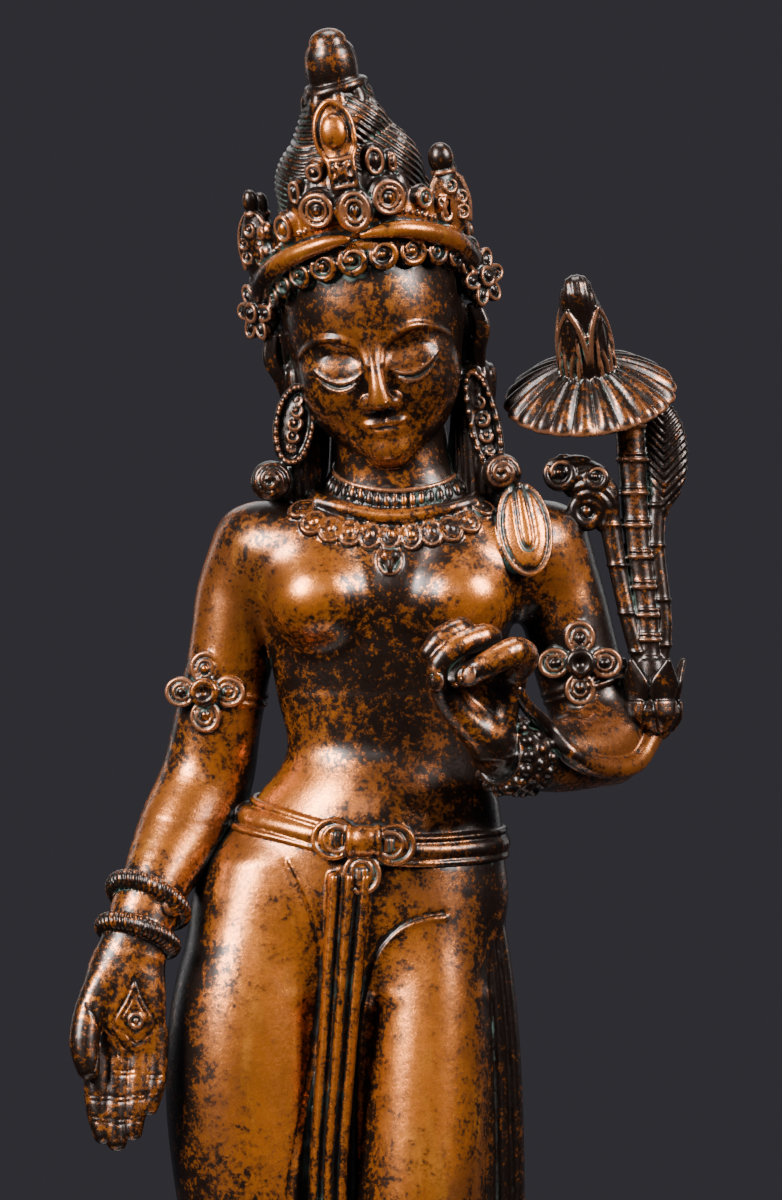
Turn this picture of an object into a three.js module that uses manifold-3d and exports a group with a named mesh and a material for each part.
// A standing goddess cast in copper alloy, with a lotus spray at her left shoulder, on a low lotus plinth.
// +Z is up, she faces -Y, and the origin is the centre of the plinth's underside. Lengths are millimetres.
import * as THREE from "three";
import { mergeVertices } from "three/addons/utils/BufferGeometryUtils.js";
import Module from "manifold-3d";

const wasm = await Module();
wasm.setup();

// Driving dimensions
const FIGURE_HEIGHT = 340; // soles to the tip of the hair finial
const PLINTH_HEIGHT = 32;
const PLINTH_WIDTH = 116; // over the foot rim, the widest part
const PLINTH_DEPTH = 96;
const FOOT_RIM_HEIGHT = 5; // plain moulding under the petals
const BEAD_RIM_HEIGHT = 4; // beaded collar round the flat top on which she stands
const PETAL_SWELL = 3.4; // how far a petal's middle stands out of its row
const PETALS = 16; // round each of the two rows
const FIGURE_SET_BACK = 6; // from the plinth's centre to the figure's own zero line
const FACETS_PER_PETAL = 4;
const FACET_SLACK = 0.8; // how far a merged facet may leave the form it stands for

// The figure's proportions are in parts, of which its height holds 340, measured up from the soles.
const PARTS_IN_HEIGHT = 340;
const part = FIGURE_HEIGHT / PARTS_IN_HEIGHT;
const TOWARDS_VIEWER = new THREE.Vector3(0, -1, 0);
const UP = new THREE.Vector3(0, 0, 1);
const radians = THREE.MathUtils.degToRad;

// A closed three.js geometry as a solid.
function solid(geometry) {
  const bare = new THREE.BufferGeometry().setAttribute("position", geometry.getAttribute("position"));
  if (geometry.index) bare.setIndex(geometry.index);
  const merged = mergeVertices(bare, 1e-4);
  const corners = [];
  const index = merged.index.array;
  for (let i = 0; i < index.length; i += 3) {
    const [a, b, c] = [index[i], index[i + 1], index[i + 2]];
    if (a !== b && b !== c && a !== c) corners.push(a, b, c);
  }
  const vertProperties = merged.getAttribute("position").array;
  return new wasm.Manifold(new wasm.Mesh({ numProp: 3, vertProperties, triVerts: new Uint32Array(corners) }));
}

const fused = (geometries) => geometries.map(solid).reduce((all, next) => all.add(next));
const moved = (geometries, matrix) => geometries.map((geometry) => geometry.applyMatrix4(matrix));

// The corners of a solid's outer skin: a pocket that the joins seal inside is metal too, so its skin goes.
function outerSkin(mesh) {
  const parent = Array.from({ length: mesh.numVert }, (_, i) => i);
  const rootOf = (i) => {
    while (parent[i] !== i) {
      parent[i] = parent[parent[i]];
      i = parent[i];
    }
    return i;
  };
  const corners = mesh.triVerts;
  for (let i = 0; i < corners.length; i += 3) {
    parent[rootOf(corners[i + 1])] = rootOf(corners[i]);
    parent[rootOf(corners[i + 2])] = rootOf(corners[i]);
  }
  const pointAt = (i) => new THREE.Vector3().fromArray(mesh.vertProperties, i * mesh.numProp);
  const volume = new Map();
  for (let i = 0; i < corners.length; i += 3) {
    const [a, b, c] = [pointAt(corners[i]), pointAt(corners[i + 1]), pointAt(corners[i + 2])];
    const skin = rootOf(corners[i]);
    volume.set(skin, (volume.get(skin) ?? 0) + a.dot(b.cross(c)) / 6);
  }
  return corners.filter((_, i) => volume.get(rootOf(corners[i - (i % 3)])) > 0);
}

// A solid back as a geometry that three.js draws.
function geometryOf(made) {
  const mesh = made.getMesh();
  const points = new Float32Array(mesh.numVert * 3);
  for (let i = 0; i < mesh.numVert; i++) {
    points.set(mesh.vertProperties.subarray(i * mesh.numProp, i * mesh.numProp + 3), i * 3);
  }
  const geometry = new THREE.BufferGeometry().setAttribute("position", new THREE.BufferAttribute(points, 3));
  geometry.setIndex(new THREE.BufferAttribute(outerSkin(mesh), 1));
  geometry.computeVertexNormals();
  return geometry;
}

// A corner's error matrix is a sum over its faces' planes, kept as ten products of a plane's four terms.
const TERM_PAIRS = [0, 1, 2, 3].flatMap((i) => [0, 1, 2, 3].slice(i).map((j) => [i, j]));
function planeMatrix([a, b, c], points) {
  const normal = new THREE.Plane().setFromCoplanarPoints(points[a], points[b], points[c]);
  const n = [normal.normal.x, normal.normal.y, normal.normal.z, normal.constant];
  return TERM_PAIRS.map(([i, j]) => n[i] * n[j]);
}

function planeError(terms, point) {
  const n = [point.x, point.y, point.z, 1];
  const shares = TERM_PAIRS.map(([i, j], t) => terms[t] * n[i] * n[j] * (i === j ? 1 : 2));
  return Math.abs(shares.reduce((sum, share) => sum + share));
}

// A face's normal and its least height, for its three points.
function lieOf([a, b, c]) {
  const normal = b.clone().sub(a).cross(c.clone().sub(a));
  const longest = Math.max(a.distanceTo(b), b.distanceTo(c), c.distanceTo(a));
  const height = longest > 0 ? normal.length() / longest : 0;
  return { normal: normal.normalize(), height };
}

// One round of closing up edges: each edge whose two corners can meet within slack of every face round them,
// and each edge that is too short to keep.
function closeEdges(points, faces, matrices, slack) {
  const SHORTEST_EDGE = 0.12;
  const LEAST_HEIGHT = 0.05;
  const around = points.map(() => []);
  for (const face of faces) {
    for (const corner of face) around[corner].push(face);
  }
  const edges = [];
  for (const face of faces) {
    for (let k = 0; k < 3; k++) {
      const [a, b] = [face[k], face[(k + 1) % 3]];
      if (a > b) continue;
      const terms = matrices[a].map((term, i) => term + matrices[b][i]);
      const middle = points[a].clone().lerp(points[b], 0.5);
      const places = [points[a], points[b], middle].map((at) => ({ at, error: planeError(terms, at) }));
      const best = places.reduce((x, y) => (y.error < x.error ? y : x));
      const length = points[a].distanceTo(points[b]);
      const cost = length < SHORTEST_EDGE ? 0 : best.error;
      if (cost < slack * slack) edges.push({ a, b, terms, at: best.at, cost });
    }
  }
  edges.sort((x, y) => x.cost - y.cost);
  const touched = new Set();
  const gone = new Set();
  for (const { a, b, terms, at } of edges) {
    if (touched.has(a) || touched.has(b)) continue;
    const near = (corner) => new Set(around[corner].flat());
    const [nearA, nearB] = [near(a), near(b)];
    const shared = [...nearA].filter((corner) => corner !== a && corner !== b && nearB.has(corner));
    if (shared.length !== 2) continue;
    const ring = [...around[a], ...around[b]].filter((face) => !(face.includes(a) && face.includes(b)));
    const stays = ring.every((face) => {
      const before = lieOf(face.map((corner) => points[corner]));
      const after = lieOf(face.map((corner) => (corner === a || corner === b ? at : points[corner])));
      if (before.height < LEAST_HEIGHT) return after.height > 0.5 * before.height;
      return after.height > LEAST_HEIGHT && before.normal.dot(after.normal) > 0.5;
    });
    if (!stays) continue;
    for (const corner of [...nearA, ...nearB]) touched.add(corner);
    around[a].filter((face) => face.includes(b)).forEach((face) => gone.add(face));
    around[b].forEach((face) => face.splice(0, 3, ...face.map((corner) => (corner === b ? a : corner))));
    points[a] = at.clone();
    matrices[a] = terms;
  }
  return faces.filter((face) => !gone.has(face));
}

// The same form with fewer facets: joins leave slivers, and near-flat stretches need no extra corners.
function coarsened(geometry, slack) {
  const place = geometry.getAttribute("position");
  const pointAt = (_, i) => new THREE.Vector3().fromBufferAttribute(place, i);
  const points = Array.from({ length: place.count }, pointAt);
  let faces = [];
  for (let i = 0; i < geometry.index.count; i += 3) faces.push([...geometry.index.array.slice(i, i + 3)]);
  const matrices = points.map(() => TERM_PAIRS.map(() => 0));
  for (const face of faces) {
    const terms = planeMatrix(face, points);
    for (const corner of face) terms.forEach((term, i) => (matrices[corner][i] += term));
  }
  for (let before = Infinity; faces.length < before * 0.995; ) {
    before = faces.length;
    faces = closeEdges(points, faces, matrices, slack);
  }
  const loose = new THREE.BufferGeometry().setFromPoints(points).setIndex(faces.flat());
  return geometryOf(solid(loose));
}

// Rings of points joined into a closed skin, with a point at each end.
function closedRings(rings, foot, tip) {
  const sides = rings[0].length;
  const points = [foot, ...rings.flat(), tip];
  const corners = [];
  const at = (ring, k) => 1 + ring * sides + (k % sides);
  for (let k = 0; k < sides; k++) {
    corners.push(0, at(0, k + 1), at(0, k));
    corners.push(points.length - 1, at(rings.length - 1, k), at(rings.length - 1, k + 1));
    for (let r = 0; r + 1 < rings.length; r++) {
      corners.push(at(r, k), at(r, k + 1), at(r + 1, k + 1), at(r, k), at(r + 1, k + 1), at(r + 1, k));
    }
  }
  return new THREE.BufferGeometry().setFromPoints(points).setIndex(corners);
}

// An oval section of a loft, square to its path.
function oval(section, width, depth, sides) {
  const ring = [];
  for (let k = 0; k < sides; k++) {
    const angle = (2 * Math.PI * k) / sides;
    const point = section.centre.clone().addScaledVector(section.across, width * Math.cos(angle));
    ring.push(point.addScaledVector(section.ahead, depth * Math.sin(angle)));
  }
  return ring;
}

// A rounded form through stations [x, y, z, half width, half depth].
// front is the side its depth faces, and dome the height of each end's cap as a share of its thinner half.
// A level loft keeps every section flat, where another turns its sections square to its path.
function loft(stations, { sides = 10, front = TOWARDS_VIEWER, dome = [0.8, 0.8], level = false } = {}) {
  const centres = stations.map(([x, y, z]) => new THREE.Vector3(x, y, z));
  const path = new THREE.CatmullRomCurve3(centres, false, "catmullrom", 0.5);
  const sections = stations.map(([, , , width, depth], i) => {
    const tangent = path.getTangent(i / (stations.length - 1));
    const along = level ? UP.clone().multiplyScalar(Math.sign(tangent.z)) : tangent;
    const ahead = front.clone().addScaledVector(along, -front.dot(along)).normalize();
    return { centre: centres[i], along, width, depth, ahead, across: ahead.clone().cross(along) };
  });
  const capAngle = Math.PI / 4;
  const cap = (section, reach) => {
    const centre = section.centre.clone().addScaledVector(section.along, reach * Math.sin(capAngle));
    const shrink = Math.cos(capAngle);
    return oval({ ...section, centre }, section.width * shrink, section.depth * shrink, sides);
  };
  const reachOf = (section, share) => share * Math.min(section.width, section.depth);
  const first = sections[0];
  const last = sections[sections.length - 1];
  const rings = dome[0] > 0 ? [cap(first, -reachOf(first, dome[0]))] : [];
  rings.push(...sections.map((section) => oval(section, section.width, section.depth, sides)));
  if (dome[1] > 0) rings.push(cap(last, reachOf(last, dome[1])));
  const foot = first.centre.clone().addScaledVector(first.along, -reachOf(first, dome[0]));
  const tip = last.centre.clone().addScaledVector(last.along, reachOf(last, dome[1]));
  return closedRings(rings, foot, tip);
}

// A round bar through points [x, y, z, radius].
const bar = (points, options = {}) =>
  loft(points.map(([x, y, z, radius]) => [x, y, z, radius, radius]), { sides: 6, ...options });

// A closed hoop through points, tall along up and deep across it.
function hoop(points, tall, deep, { sides = 5, up = UP } = {}) {
  const count = points.length;
  const vertices = [];
  const corners = [];
  for (let i = 0; i < count; i++) {
    const along = points[(i + 1) % count].clone().sub(points[(i + count - 1) % count]).normalize();
    const across = along.clone().cross(up).normalize();
    for (let k = 0; k < sides; k++) {
      const angle = (2 * Math.PI * k) / sides;
      const point = points[i].clone().addScaledVector(up, tall * Math.sin(angle));
      vertices.push(point.addScaledVector(across, deep * Math.cos(angle)));
      const [a, b] = [i * sides + k, i * sides + ((k + 1) % sides)];
      const [c, d] = [((i + 1) % count) * sides + k, ((i + 1) % count) * sides + ((k + 1) % sides)];
      corners.push(a, d, b, a, c, d);
    }
  }
  return new THREE.BufferGeometry().setFromPoints(vertices).setIndex(corners);
}

// Points round an oval, square to an axis, starting on the side that faces the viewer.
function ovalPoints(centre, axis, across, deep, count) {
  const along = new THREE.Vector3(...axis).normalize();
  const ahead = TOWARDS_VIEWER.clone().addScaledVector(along, -TOWARDS_VIEWER.dot(along)).normalize();
  const side = along.clone().cross(ahead);
  return Array.from({ length: count }, (_, i) => {
    const angle = (2 * Math.PI * i) / count;
    const point = new THREE.Vector3(...centre).addScaledVector(ahead, deep * Math.cos(angle));
    return point.addScaledVector(side, across * Math.sin(angle));
  });
}

// A band round a limb.
function band(centre, axis, across, deep, tube, count = 10) {
  const up = new THREE.Vector3(...axis).normalize();
  return hoop(ovalPoints(centre, axis, across, deep, count), tube, tube, { up });
}

// A ball or egg with its half sizes along x, y and z.
function egg([x, y, z], [across, deep, tall], { around = 6, rings = 4 } = {}) {
  const geometry = new THREE.SphereGeometry(1, around, rings).rotateX(Math.PI / 2);
  return geometry.scale(across, deep, tall).translate(x, y, z);
}

// An egg lying on a surface: its depth points along the way out of the seat.
function boss(seat, across, tall, proud, { around = 6, rings = 4, tilt = 0, sink = 0.17 } = {}) {
  const geometry = new THREE.SphereGeometry(1, around, rings).rotateX(Math.PI / 2);
  geometry.scale(across, proud, tall).rotateY(radians(tilt));
  const turn = new THREE.Quaternion().setFromUnitVectors(TOWARDS_VIEWER, seat.out);
  const middle = seat.point.clone().addScaledVector(seat.out, -sink);
  return geometry.applyMatrix4(new THREE.Matrix4().compose(middle, turn, new THREE.Vector3(1, 1, 1)));
}

// A pointed leaf plate, standing up from its foot, rounded in front.
function leaf(width, height, thick) {
  const outline = new THREE.Shape();
  outline.moveTo(-width * 0.3, 0);
  outline.quadraticCurveTo(-width * 0.72, height * 0.45, 0, height);
  outline.quadraticCurveTo(width * 0.72, height * 0.45, width * 0.3, 0);
  outline.closePath();
  const plate = new THREE.ExtrudeGeometry(outline, { depth: thick, bevelEnabled: false, curveSegments: 4 });
  return plate.rotateX(Math.PI / 2).translate(0, thick / 2, 0);
}

// Finds where a line first meets the carved body: from the viewer inwards, or from a middle outwards.
function surfaceOf(body) {
  const mesh = new THREE.Mesh(geometryOf(body), new THREE.MeshBasicMaterial({ side: THREE.DoubleSide }));
  const FAR_OFF = 500;
  const meet = (from, way) => {
    const hit = new THREE.Raycaster(from, way).intersectObject(mesh)[0];
    if (!hit) throw new Error("nothing carries the ornament at " + from.toArray().join(", "));
    return { point: hit.point, out: hit.face.normal.clone() };
  };
  return {
    fromFront: (x, z) => meet(new THREE.Vector3(x, -FAR_OFF, z), new THREE.Vector3(0, 1, 0)),
    fromRound: (centre, degrees, z) => {
      const way = new THREE.Vector3(Math.sin(radians(degrees)), -Math.cos(radians(degrees)), 0);
      return meet(new THREE.Vector3(centre[0], centre[1], z), way);
    },
  };
}

// Body and limbs, from the hips up
const TORSO = [
  [-6.4, 0.5, 150, 28, 14.5],
  [-6, 0.5, 165, 31.5, 16.6],
  [-4.5, 0.5, 176, 29.5, 16],
  [-1.5, 0, 187, 23.5, 13.5],
  [1, 0, 198, 20.2, 12],
  [1.5, 0, 208, 21, 12.6],
  [2, 0, 221, 24.2, 14],
  [3, 1, 234, 27.5, 14],
  [4, 1.6, 241.5, 27, 12],
  [4, 1.8, 247, 19, 10.4],
];
const NECK = [
  [4, 1, 243, 14, 11],
  [4, 0, 249.5, 11.8, 10],
  [3.2, -1.5, 257, 10.2, 9.6],
  [2, -2.2, 268, 10, 9.6],
];
const BREAST = [10.4, 12, 10.6];
const BREASTS_AT = [[-13, -8.4, 227.8], [16.8, -8.4, 227.6]];
const BELLY = [[-2.4, -6, 181], [15, 10, 13]];
const SEAT = [13, 10, 17];
const SEATS_AT = [[-17.4, 8, 160], [6.4, 8, 160]];
const SHOULDERS_AT = [[-21.4, 2, 237.4], [30.6, 2, 238]];
const SHOULDER = [11.2, 10, 9.6];
const RIGHT_ARM = [
  [-23.6, 2, 238, 8.6, 9],
  [-27.6, 2.5, 227, 7.9, 8.2],
  [-29.8, 3.2, 215, 8, 8],
  [-32.2, 4.4, 203, 8.5, 8.4],
  [-34.9, 5, 190.5, 9, 8.8],
  [-39.4, 0, 180, 8.4, 8.3],
  [-44.6, -6, 171, 7, 6.8],
  [-48.2, -11.8, 160.6, 5.8, 5],
  [-49, -13, 156.6, 5.2, 3.9],
];
const RIGHT_PALM = [
  [-48.5, -12.2, 161.6, 5.4, 4.4],
  [-50.4, -14, 153, 7.8, 4.6],
  [-51, -15, 145, 8.6, 4],
  [-50.6, -15, 138, 8, 3],
];
const RIGHT_FINGERS = [
  [[-56.2, -15, 141, 2.5], [-56.6, -16, 129, 2.3], [-55.4, -17.6, 121, 1.9]],
  [[-52, -15, 141, 2.6], [-52.4, -16, 128, 2.4], [-52, -18, 119, 2]],
  [[-47.8, -15, 141, 2.5], [-48.3, -16, 129, 2.3], [-48.8, -17.6, 122, 1.9]],
  [[-44.2, -14.6, 141, 2.3], [-44.7, -15.6, 132, 2.1], [-45.6, -17, 126.5, 1.8]],
  [[-53.6, -14.6, 152, 4], [-58, -17.6, 145, 3], [-58.6, -19.6, 139, 2.7], [-57.4, -20.6, 133.6, 2.2]],
];
const LEFT_UPPER_ARM = [
  [33.4, 2, 239, 9.2, 9.4],
  [37.4, 2.4, 226, 8.8, 8.8],
  [40.4, 3, 212, 8.8, 8.6],
  [45, 2.6, 201, 9, 9],
];
const LEFT_FOREARM = [
  [48.4, 3.4, 198.4, 8, 8.4],
  [44, -5, 197, 8.8, 8.2],
  [35, -14, 196.4, 8, 7.2],
  [27, -21.6, 196.6, 6.6, 6.2],
  [21.6, -26.4, 197.6, 5.8, 5.2],
];
const LEFT_PALM = [
  [21.6, -26.4, 196.4, 5.6, 4.6],
  [20.6, -27.6, 204, 8, 4.6],
  [19.8, -28.6, 211, 9.4, 4.2],
  [20.4, -29, 216, 9, 3.4],
];
const LEFT_FINGERS = [
  [[13.6, -28.6, 213, 2.4], [13.8, -32, 219.6, 2.5], [16, -36, 221.4, 2.5], [10, -38.6, 217.6, 2]],
  [[19, -29, 214, 2.5], [21.2, -35, 220.4, 2.6], [14, -39.4, 217, 2.5], [11, -39.4, 211, 2]],
  [[25.4, -29, 212, 2.7], [29, -34.4, 216.4, 2.8], [24, -39.6, 216.6, 2.8], [17, -40.4, 212, 2.3]],
  [[28, -29, 208, 2.4], [29.8, -33.6, 210.6, 2.5], [26.4, -36.6, 210.6, 2.3]],
  [[21, -28, 200, 4], [14.4, -31, 204.6, 3.6], [11.2, -34.6, 209.4, 2.8]],
];
// Skirted legs, as far down as the hem
const HEM_Z = 9;
const RIGHT_LEG = [
  [-22, 0, 173, 12, 13],
  [-26.5, -1, 150, 14.8, 16],
  [-28.6, -2, 129, 14.6, 16.2],
  [-27.4, -2.5, 106, 12.8, 15],
  [-24.4, -2.5, 84, 11.4, 13.2],
  [-20.6, 0.4, 56, 10.6, 11.8],
  [-16.6, 2, 30, 9.2, 10],
  [-15, 2, HEM_Z, 10.4, 11.4],
];
const LEFT_LEG = [
  [9, 0, 172, 11, 13],
  [9.6, -2, 150, 12.4, 15],
  [8.8, -3.4, 129, 13.3, 16],
  [7.8, -5, 106, 13.2, 15.6],
  [8.2, -5.5, 84, 11.9, 13.6],
  [10.6, -1.4, 56, 10.8, 11.8],
  [13, 1.6, 30, 9.2, 10],
  [15, 2, HEM_Z, 10.4, 11.4],
];
const CLOTH_BETWEEN_LEGS = [
  [-7, 1, 166, 15, 14.5],
  [-9.6, 1.4, 130, 15, 12.5],
  [-9.8, 1, 100, 14, 11.4],
  [-6.6, 1.6, 66, 13, 9.6],
  [0, 2.6, HEM_Z, 12, 9.4],
];

function body() {
  return fused([
    loft(TORSO, { sides: 18, dome: [0.3, 0.4] }),
    loft(NECK, { sides: 12, dome: [0, 0] }),
    loft(RIGHT_LEG, { sides: 14, dome: [0.4, 0] }),
    loft(LEFT_LEG, { sides: 14, dome: [0.4, 0] }),
    loft(CLOTH_BETWEEN_LEGS, { sides: 8, dome: [0.3, 0] }),
    ...BREASTS_AT.map((at) => egg(at, BREAST, { around: 12, rings: 8 })),
    ...SEATS_AT.map((at) => egg(at, SEAT, { around: 10, rings: 6 })),
    ...SHOULDERS_AT.map((at) => egg(at, SHOULDER, { around: 10, rings: 6 })),
    egg(BELLY[0], BELLY[1], { around: 10, rings: 6 }),
    loft(RIGHT_ARM, { sides: 10, dome: [0, 0] }),
    loft(LEFT_UPPER_ARM, { sides: 10, dome: [0, 0] }),
    loft(LEFT_FOREARM, { sides: 10, dome: [0.6, 0], front: new THREE.Vector3(-0.6, -0.8, 0) }),
    loft(RIGHT_PALM, { sides: 8, dome: [0, 0.6] }),
    loft(LEFT_PALM, { sides: 8, dome: [0, 0.6] }),
  ]);
}

const fingers = () => [...RIGHT_FINGERS, ...LEFT_FINGERS].map((points) => bar(points));

// Bare feet, side by side and a little turned out
const FOOT = { toeY: -29, toeSpread: 5.2, toes: 5 };
function foot(side) {
  const stations = [
    [side * 14, 13, 5.4, 5.2, 5.6],
    [side * 14.4, 6, 6.4, 6.2, 7],
    [side * 16, -8, 5.4, 7.2, 6.4],
    [side * 18, -20, 3.4, 8, 4.6],
    [side * 18.6, -25, 2.4, 7.8, 3.4],
  ];
  const pieces = [loft(stations, { sides: 10, front: UP, dome: [0.8, 0.3] })];
  pieces.push(bar([[side * 14.6, 4, 4, 8], [side * 14.8, 3, HEM_Z + 3, 8]], { sides: 10, dome: [0, 0] }));
  const bigToe = { width: 2.9, reach: 4.6 };
  const lastToe = { width: 1.9, reach: 3 };
  for (let i = 0; i < FOOT.toes; i++) {
    const share = i / (FOOT.toes - 1);
    const width = THREE.MathUtils.lerp(bigToe.width, lastToe.width, share);
    const reach = THREE.MathUtils.lerp(bigToe.reach, lastToe.reach, share);
    const x = side * (12.4 + FOOT.toeSpread * 2.5 * share);
    pieces.push(egg([x, FOOT.toeY + 2.6 + 3.4 * share * share, 2], [width, reach, 2.6]));
  }
  return pieces;
}

// Sashes: three rounded ribs each, the middle one down between the legs and the other down her left side
const CENTRAL_RIB = { share: 0.62, depth: 3.4, round: 0.8 };
const SIDE_RIB = { width: 2.3, depth: 4.6 };
const CENTRAL_SASH = [
  [-6, -15.6, 172, 3.1],
  [-8.4, -14.4, 140, 2.7],
  [-10.4, -12.4, 107, 2.7],
  [-8.4, -10.4, 70, 3],
  [-3.4, -8, 36, 3.8],
  [-0.6, -7, HEM_Z + 3, 4.6],
];
const SIDE_SASH = [
  [17, -5, 176, 1.7, 2.4],
  [20.4, -3.4, 150, 2.1, 2.6],
  [22, -2.6, 128, 2.4, 2.8],
  [22.6, -2, 100, 2.6, 3],
  [22.6, -1, 66, 2.8, 3.2],
  [24, 1, 36, 3.4, 3.8],
  [27, 2, HEM_Z + 4, 4.4, 4.8],
];
function sashes() {
  const ribs = [];
  for (const step of [-1, 0, 1]) {
    const middle = CENTRAL_SASH.map(([x, y, z, apart]) => {
      const round = CENTRAL_RIB.round * Math.abs(step);
      return [x + step * apart, y + round, z, CENTRAL_RIB.share * apart, CENTRAL_RIB.depth];
    });
    const side = SIDE_SASH.map(([x, y, z, apart, back]) => {
      return [x + step * apart, y + (step + 1) * back, z, SIDE_RIB.width, SIDE_RIB.depth];
    });
    ribs.push(loft(middle, { sides: 6 }), loft(side, { sides: 6 }));
  }
  return ribs;
}

// The belt dips in front, with a clasp of two curled lobes, a roll and a hanging tongue
const BELT = { middle: [-3.4, 0.4], reach: 25, frontZ: 178.2, slope: -0.12, rise: 3.4 };
const BELT_BAND = { tall: 3.1, proud: 1.7, sink: 0.3 };
const CLASP_LOBES = [[-9, 179.6, 4.3, 4.2], [4, 178.4, 4.3, 4.2]];
const CLASP_ROLL = [-2.4, 179.2, 4, 3];
const CLASP_TONGUE = [-4.4, 173.2, 3.7, 3.6];
function belt(surface) {
  const points = [];
  for (let degrees = 0; degrees < 360; degrees += 20) {
    const side = BELT.middle[0] + BELT.reach * Math.sin(radians(degrees));
    const z = BELT.frontZ + BELT.slope * (side + 4) + BELT.rise * (1 - Math.cos(radians(degrees)));
    const seat = surface.fromRound(BELT.middle, degrees, z);
    points.push(seat.point.clone().addScaledVector(seat.out, -BELT_BAND.sink));
  }
  const pieces = [hoop(points.reverse(), BELT_BAND.tall, BELT_BAND.proud, { sides: 6 })];
  for (const [x, z, across, tall] of [...CLASP_LOBES, CLASP_ROLL, CLASP_TONGUE]) {
    pieces.push(boss(surface.fromFront(x, z), across, tall, 3.2, { around: 8 }));
  }
  return pieces;
}

// The collar: a thick roll round the base of the neck, with lobed pendants and one drop
const COLLAR = { middle: [3, 1.4], frontZ: 243.6, rise: 5.6, roll: 2, proud: 0.3 };
const PENDANTS = { count: 9, spread: 64, below: 3.6 };
function collar(surface) {
  const zAt = (degrees) => COLLAR.frontZ + COLLAR.rise * (1 - Math.cos(radians(degrees)));
  const points = [];
  for (let degrees = 0; degrees < 360; degrees += 24) {
    const seat = surface.fromRound(COLLAR.middle, degrees, zAt(degrees));
    points.push(seat.point.clone().addScaledVector(seat.out, COLLAR.proud));
  }
  const pieces = [hoop(points.reverse(), COLLAR.roll, COLLAR.roll)];
  for (let i = 0; i < PENDANTS.count; i++) {
    const degrees = THREE.MathUtils.lerp(-PENDANTS.spread, PENDANTS.spread, i / (PENDANTS.count - 1));
    const seat = surface.fromRound(COLLAR.middle, degrees, zAt(degrees) - PENDANTS.below);
    pieces.push(boss(seat, 2.3, 2.9, 1.3));
  }
  const drop = surface.fromFront(2, 235.6);
  pieces.push(boss(drop, 1.8, 2.8, 1.6));
  return pieces;
}

// A lock of hair in a long loop on her left shoulder
function shoulderLock(surface) {
  return [boss(surface.fromFront(29, 241.4), 5.4, 9.6, 2.6, { around: 8, rings: 6, tilt: 6 })];
}

// Armlets: a narrow band with a four-petalled flower facing forward
const ARMLETS = [
  { centre: [-31.2, 3.8, 208.6], axis: [-0.17, 0.1, -1], across: 8.7, deep: 8.6, flower: [-35, 208.4] },
  { centre: [41, 3, 210.6], axis: [0.24, 0, -1], across: 9.2, deep: 9.1, flower: [39.8, 215] },
];
const ARMLET_PETAL = { reach: 4.7, half: 3.3, proud: 2.6, sink: 0.9 };
function armlets(surface) {
  const pieces = [];
  for (const { centre, axis, across, deep, flower } of ARMLETS) {
    pieces.push(band(centre, axis, across, deep, 1.3, 10));
    const { point, out } = surface.fromFront(...flower);
    const facing = out.add(TOWARDS_VIEWER.clone().multiplyScalar(2)).normalize();
    const beside = UP.clone().cross(facing).normalize();
    const above = facing.clone().cross(beside);
    pieces.push(boss({ point, out: facing }, 2.9, 2.9, 3.6, { around: 8 }));
    for (const degrees of [0, 90, 180, 270]) {
      const middle = point.clone().addScaledVector(beside, ARMLET_PETAL.reach * Math.cos(radians(degrees)));
      middle.addScaledVector(above, ARMLET_PETAL.reach * Math.sin(radians(degrees)));
      const { half, proud, sink } = ARMLET_PETAL;
      pieces.push(boss({ point: middle, out: facing }, half, half, proud, { sink }));
    }
  }
  return pieces;
}

// Two roped bangles on her right wrist and a beaded cuff on her left
function bracelets() {
  return [
    band([-46.3, -8.7, 167.1], [-0.4, -0.5, -0.8], 7.2, 6.8, 1.9, 10),
    band([-48.3, -12, 160.1], [-0.3, -0.4, -0.9], 7, 6, 1.9, 10),
    band([27.8, -21, 196.6], [-0.7, -0.7, 0.05], 7.4, 7.6, 2.1, 10),
  ];
}

// The head is made upright about its own centre, with the nose towards -Y, and then tilted as she bows it
const HEAD_AT = new THREE.Vector3(-0.9, -2, 281);
const HEAD_TILT = new THREE.Euler(radians(12), radians(-9.5), radians(-4), "YXZ");
const HEAD_POSE = new THREE.Matrix4().makeRotationFromEuler(HEAD_TILT).setPosition(HEAD_AT);
const FACE = [
  [0, -9.6, -23, 5, 6],
  [0, -6.5, -19, 10, 10.6],
  [0, -4, -12, 13.8, 14.4],
  [0, -2.5, -3, 16.3, 16.8],
  [0, -1.5, 7, 17.2, 18.2],
  [0, -0.5, 16, 16, 17.4],
];
function face() {
  const pieces = [
    egg([0, 1.5, 5], [17.4, 19.4, 20.6], { around: 12, rings: 8 }),
    loft(FACE, { sides: 14, dome: [0.5, 0], level: true }),
    loft([[0, -19.4, 1, 1, 1], [0, -21, -6, 1.4, 1.6], [0, -21, -10.6, 2.7, 2.6]], { sides: 6, front: UP }),
    egg([0, -18.4, -15.4], [4.2, 2.2, 1]),
    egg([0, -17.8, -17.6], [3.2, 2.2, 1.1]),
    egg([0, -15.6, -22], [3.4, 3.2, 2.6]),
  ];
  for (const side of [-1, 1]) {
    pieces.push(egg([side * 7, -16.6, -2.6], [4.4, 2.6, 2.4], { around: 8 }));
    const brow = [[side * 1.6, -18.8, -0.6, 1], [side * 7, -18.6, 3, 1.1], [side * 13.4, -13.4, 1.2, 0.7]];
    pieces.push(bar(brow, { sides: 4 }));
    const ear = [[side * 17, 1, 2, 1.6, 3.4], [side * 17.4, 1, -5, 1.6, 2.8], [side * 17, 0, -14, 1.6, 2.4]];
    pieces.push(loft(ear, { sides: 6 }));
  }
  return pieces;
}

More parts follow.
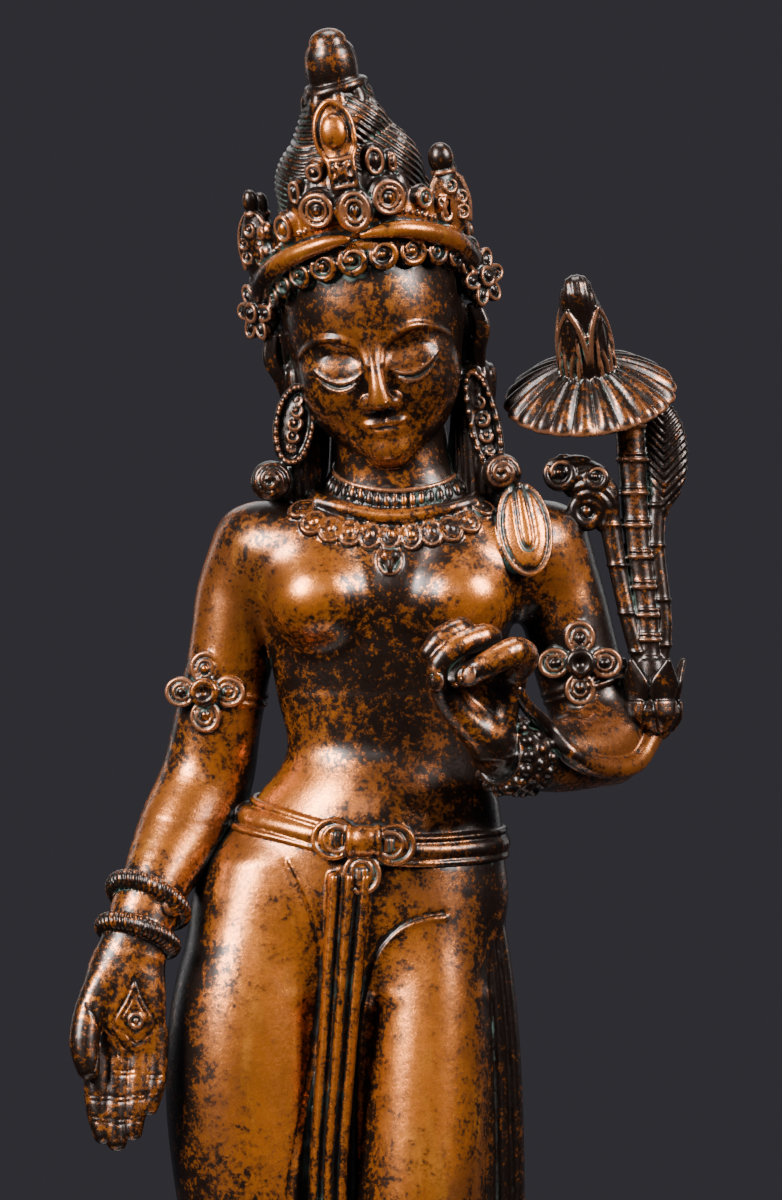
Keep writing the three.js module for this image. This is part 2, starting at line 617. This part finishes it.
// The crown's rolled rim dips behind the ears. Degrees are measured round the head from the nose.
function rimPoint(degrees, out = 0, up = 0) {
  const rim = { across: 20, deep: 19.5, frontZ: 23, sink: 14 };
  const turned = Math.min(Math.abs(degrees) / 85, 1.3);
  const z = rim.frontZ - rim.sink * Math.pow(turned, 2.2) * 0.8;
  const angle = radians(degrees);
  const x = (rim.across + out) * Math.sin(angle);
  const y = 1 - (rim.deep + out) * Math.cos(angle);
  return new THREE.Vector3(x, y, z + up);
}
const CURLS = { count: 11, spread: 74, below: -5.6, radius: 2.3 };
const SIDE_LEAVES = [
  { at: 34, width: 9, height: 11, jewel: 3.1 },
  { at: 68, width: 10.5, height: 19, jewel: 3.4 },
];
function crown() {
  const rimPoints = [];
  for (let degrees = 0; degrees < 360; degrees += 24) {
    rimPoints.push(rimPoint(degrees > 180 ? degrees - 360 : degrees));
  }
  const pieces = [hoop(rimPoints.reverse(), 2.6, 2.4)];
  for (let i = 0; i < CURLS.count; i++) {
    const degrees = THREE.MathUtils.lerp(-CURLS.spread, CURLS.spread, i / (CURLS.count - 1));
    const at = rimPoint(degrees, -2.4, CURLS.below);
    pieces.push(egg(at.toArray(), [CURLS.radius, CURLS.radius, CURLS.radius]));
  }
  const standUp = (geometry, degrees, out, up, lean) => {
    const foot = rimPoint(degrees, out, up);
    return geometry.rotateX(radians(lean)).rotateZ(radians(degrees)).translate(foot.x, foot.y, foot.z);
  };
  pieces.push(standUp(leaf(12, 24, 4), 0, 0, 2, -8));
  pieces.push(egg([0, -19.4, 28], [3.8, 3.4, 3.8], { around: 8 }));
  pieces.push(egg([0, -18.6, 35.4], [3.2, 3, 2.6]));
  pieces.push(egg([0, -17.6, 43], [3, 2.6, 4], { around: 8 }));
  for (const side of [-1, 1]) {
    for (const { at, width, height, jewel } of SIDE_LEAVES) {
      pieces.push(standUp(leaf(width, height, 3.6), side * at, 0.4, 0, 6));
      pieces.push(egg(rimPoint(side * at, 2, 5.4).toArray(), [jewel, jewel, jewel]));
      pieces.push(egg(rimPoint(side * at, 1, height).toArray(), [1.7, 1.7, 2.4]));
    }
  }
  return pieces;
}

// Hair gathered up into a tall knot with crossing locks, a lobed collar and a smooth finial
const HAIR_CAP = [[0, 4, 12], [18.4, 17.6, 19]];
const TOPKNOT = [
  [0, 3, 22, 16.6, 15.4],
  [0, 2, 30, 14.8, 13.6],
  [0, 1, 38, 12.4, 11.4],
  [0, 0.6, 45, 8.8, 8.2],
  [0, 0.4, 49, 6.4, 6],
];
const CROSSING_LOCKS = [
  [[13, -2, 26, 2.4], [11, -8.4, 33, 2.6], [3, -11, 41, 2.6], [-4, -8, 46, 2.2]],
  [[15, 8, 24, 2.6], [14.6, 1, 31, 2.8], [10, -5, 40, 2.6], [5, -5, 47, 2]],
];
const FINIAL = [
  [0, 0.4, 49, 4.8, 4.8],
  [0, 0.4, 53, 5.5, 5.5],
  [0, 0.2, 57, 5, 5],
  [0, 0, 59, 3.6, 3.6],
];
const HAIR_DOWN_BACK = [
  [0, 12, 284, 13, 7],
  [1, 13, 268, 11, 5],
  [2.4, 12.6, 252, 13, 4.6],
  [2.6, 14, 236, 12, 4],
  [2.2, 14.4, 218, 8.6, 3.2],
  [1.8, 13.4, 206, 4, 2],
];
function hair() {
  const pieces = [
    egg(HAIR_CAP[0], HAIR_CAP[1], { around: 12, rings: 8 }),
    loft(TOPKNOT, { sides: 12, dome: [0, 0] }),
    loft(FINIAL, { sides: 10, dome: [0, 0.7] }),
    band([0, 0.4, 49.4], [0, 0, 1], 6, 5.8, 1.5, 10),
  ];
  for (const side of [-1, 1]) {
    for (const lock of CROSSING_LOCKS) {
      pieces.push(bar(lock.map(([x, y, z, radius]) => [side * x, y, z, radius])));
    }
  }
  return pieces;
}

// Rosettes over the ears with ribbon knots under them, and hooped earrings ending in curled balls
function earOrnaments() {
  const pieces = [];
  for (const side of [-1, 1]) {
    pieces.push(egg([side * 24, 0, 8.4], [3.6, 5.4, 5.8], { around: 8, rings: 6 }));
    pieces.push(egg([side * 22.4, -1, 15], [3, 3.4, 3.4]));
    pieces.push(egg([side * 21.4, 1, -0.6], [3.6, 3.6, 4.4]));
    pieces.push(bar([[side * 17, 4, 7, 3.6], [side * 24, 1, 8, 3]], { dome: [0, 0] }));
  }
  return pieces;
}
const EARRINGS = [
  { hoop: [-16.6, -7.6, 261.4], half: [4.2, 8.8], tilt: 6, ball: [-21.8, -7.6, 250.8], size: 4.2 },
  { hoop: [20.6, -5.4, 262.8], half: [2.7, 10], tilt: -14, ball: [24.4, -6.8, 252.4], size: 3.9 },
];
function earrings() {
  const pieces = [];
  for (const { hoop: centre, half, tilt, ball, size } of EARRINGS) {
    const points = [];
    for (let degrees = 0; degrees < 360; degrees += 36) {
      const angle = radians(degrees);
      points.push(new THREE.Vector3(half[0] * Math.sin(angle), 0, half[1] * Math.cos(angle)));
    }
    const ring = hoop(points, 1.7, 1.7, { up: TOWARDS_VIEWER });
    pieces.push(ring.rotateY(radians(tilt)).translate(...centre));
    pieces.push(egg(ball, [size, size * 0.9, size], { around: 8, rings: 5 }));
    const inwards = Math.sign(centre[0]);
    const top = [centre[0] - inwards * 1.6, 0, 272, 4.6, 6];
    const middle = [centre[0] - inwards * 2.4, 0.6, 260, 4.4, 7];
    pieces.push(loft([top, middle, [ball[0] - inwards * 5, 1, 249, 6, 7]], { sides: 8 }));
  }
  return pieces;
}

// The lotus spray: a bulb at the elbow, three stems, a fluted flower with its bud, and two leaves
const MAIN_STEM = [
  [54.4, -2.4, 210, 2.3],
  [53.4, -1.4, 224, 2.4],
  [51.4, 0, 242, 2.7],
  [50.2, 1, 262, 3],
];
const LEAF_STEMS = [
  [[53.6, -2.4, 211, 1.6], [50.6, -2.4, 220, 1.7], [47.6, -1.6, 234, 1.9], [45.6, -1, 246, 2.3]],
  [[55.6, -1.6, 211, 1.6], [57, -1, 222, 1.7], [55.4, 0, 238, 1.8], [56, 1, 250, 2]],
];
const STALK_ON_FOREARM = [
  [26, -27.4, 205, 1.5],
  [33, -20, 199.6, 1.7],
  [44, -12.6, 196.6, 1.9],
  [52, -7, 196.4, 2],
  [54.6, -2.4, 201, 2.2],
];
const BULB = [
  [54.6, -2.2, 200.4, 3.6, 3.6],
  [54.6, -2.2, 204.4, 5.7, 5.7],
  [54.6, -2.2, 207.4, 4.5, 4.5],
  [54.6, -2.2, 209.6, 5.5, 5.5],
  [54.4, -2.2, 215, 3, 3],
];
const BUD = [
  [41.8, -1.4, 271.6, 5, 5],
  [41, -4.2, 278, 5.3, 5.3],
  [39.8, -7.2, 285.4, 4.1, 4.1],
  [39.2, -8.8, 289.6, 2, 2],
];
const SCROLL_LEAF = [
  [45.4, -1, 243, 1.8, 2],
  [44.8, -1.6, 248, 3, 2.8],
  [41, -1.4, 252, 3.8, 3],
  [37, -0.6, 253.8, 3.2, 2.6],
  [34.8, 0, 251.6, 1.9, 1.8],
];
const SCROLL_EYE = { centre: [41.4, -2, 244.8], half: 2.7, tube: 1.5 };
const FEATHER_LEAF = [
  [56.2, 0.6, 245, 1.8, 1.6],
  [57.6, 0.6, 252, 3.8, 2],
  [57.2, 0.8, 260, 4.2, 2],
  [55.4, 1, 267, 2.4, 1.6],
];
const FLOWER = { apex: [41.4, -2.2, 275.4], axis: [-0.1, -0.46, 0.88], radius: 17.8 };
const PARASOL = { drop: 8.4, flutes: 20, thick: 2.6, ridge: 0.5, notch: 0.955 };

// The fluted flower hangs like a parasol: each flute is a petal that turns down at the rim.
function parasol() {
  const around = PARASOL.flutes * 2;
  const ringAt = (share, sinkAt) => {
    const ring = [];
    for (let k = 0; k < around; k++) {
      const ridge = k % 2 === 0;
      const angle = (2 * Math.PI * k) / around;
      const radius = FLOWER.radius * share * (ridge ? 1 : PARASOL.notch);
      const height = sinkAt + (ridge ? 1 : -1) * PARASOL.ridge * share;
      ring.push(new THREE.Vector3(radius * Math.cos(angle), radius * Math.sin(angle), height));
    }
    return ring;
  };
  const { drop, thick } = PARASOL;
  const under = [ringAt(0.3, -drop - 0.6), ringAt(0.94, -drop - thick)];
  const over = [ringAt(1, -drop), ringAt(0.78, -drop * 0.45), ringAt(0.3, -drop * 0.06)];
  const rings = [...under, ...over];
  const flower = closedRings(rings, new THREE.Vector3(0, 0, -drop - 0.4), new THREE.Vector3(0, 0, 0));
  const lean = new THREE.Quaternion().setFromUnitVectors(UP, new THREE.Vector3(...FLOWER.axis).normalize());
  return flower.applyQuaternion(lean).translate(...FLOWER.apex);
}

function lotusSpray() {
  return [
    bar(MAIN_STEM, { sides: 8, dome: [0, 0] }),
    ...LEAF_STEMS.map((points) => bar(points, { dome: [0, 0.5] })),
    bar(STALK_ON_FOREARM, { sides: 6 }),
    loft(BULB, { sides: 10, dome: [0.5, 0] }),
    loft(SCROLL_LEAF, { sides: 6 }),
    band(SCROLL_EYE.centre, [0.001, -1, 0], SCROLL_EYE.half, SCROLL_EYE.half, SCROLL_EYE.tube, 8),
    loft(FEATHER_LEAF, { sides: 6 }),
    parasol(),
    loft(BUD, { sides: 10, dome: [0, 0.9] }),
  ];
}

function figureSolid() {
  const carved = body();
  const surface = surfaceOf(carved);
  const onBody = [...belt(surface), ...collar(surface), ...shoulderLock(surface), ...armlets(surface)];
  const head = moved([...face(), ...crown(), ...hair(), ...earOrnaments()], HEAD_POSE);
  const rest = [...fingers(), ...foot(-1), ...foot(1), ...sashes(), ...bracelets(), ...earrings()];
  rest.push(...lotusSpray(), loft(HAIR_DOWN_BACK, { sides: 8, level: true }));
  const whole = carved.add(fused([...onBody, ...head, ...rest]));
  const below = new THREE.BoxGeometry(200, 200, 20).translate(0, 0, -10);
  return whole.subtract(solid(below));
}

// The plinth is one skin of ovals: foot rim, hanging petals, waist, standing petals and a beaded collar.
function plinthGeometry() {
  const around = PETALS * FACETS_PER_PETAL;
  const petalsTop = PLINTH_HEIGHT - BEAD_RIM_HEIGHT;
  const waistZ = (FOOT_RIM_HEIGHT + petalsTop) / 2 - 1;
  const inset = 13; // from the foot rim's edge in to the waist
  const profile = [
    { z: 0, inwards: 0, petal: 0 },
    { z: FOOT_RIM_HEIGHT - 1, inwards: 0, petal: 0 },
    { z: FOOT_RIM_HEIGHT, inwards: 2, petal: 0 },
    { z: FOOT_RIM_HEIGHT + 0.6, inwards: 4.6, petal: 1 },
    { z: (FOOT_RIM_HEIGHT + waistZ) / 2, inwards: 6.4, petal: 1 },
    { z: waistZ, inwards: inset, petal: 0 },
    { z: (waistZ + petalsTop) / 2, inwards: 7.6, petal: 1 },
    { z: petalsTop - 0.8, inwards: 7, petal: 1 },
    { z: petalsTop, inwards: 9.6, petal: 0 },
    { z: petalsTop + BEAD_RIM_HEIGHT / 2, inwards: 8.2, petal: 0 },
    { z: PLINTH_HEIGHT, inwards: 10.4, petal: 0 },
  ];
  const rings = profile.map(({ z, inwards, petal }) => {
    const ring = [];
    for (let k = 0; k < around; k++) {
      const angle = (2 * Math.PI * k) / around;
      const swell = petal * PETAL_SWELL * Math.abs(Math.sin((Math.PI * k) / FACETS_PER_PETAL));
      const across = PLINTH_WIDTH / 2 - inwards + swell;
      const deep = PLINTH_DEPTH / 2 - inwards + swell;
      ring.push(new THREE.Vector3(across * Math.cos(angle), deep * Math.sin(angle), z));
    }
    return ring;
  });
  return closedRings(rings, new THREE.Vector3(0, 0, 0), new THREE.Vector3(0, 0, PLINTH_HEIGHT));
}

const bronze = new THREE.MeshStandardMaterial({ color: 0x7a4a22, roughness: 0.35, metalness: 1 });
const darkBronze = new THREE.MeshStandardMaterial({ color: 0x5c3619, roughness: 0.4, metalness: 1 });

const tara = new THREE.Mesh(coarsened(geometryOf(figureSolid()), FACET_SLACK), bronze);
tara.name = "tara_figure";
tara.scale.setScalar(part);
tara.position.set(0, FIGURE_SET_BACK, PLINTH_HEIGHT);

const plinth = new THREE.Mesh(geometryOf(solid(plinthGeometry())), darkBronze);
plinth.name = "lotus_plinth";

const model = new THREE.Group();
model.add(tara, plinth);
export default model;
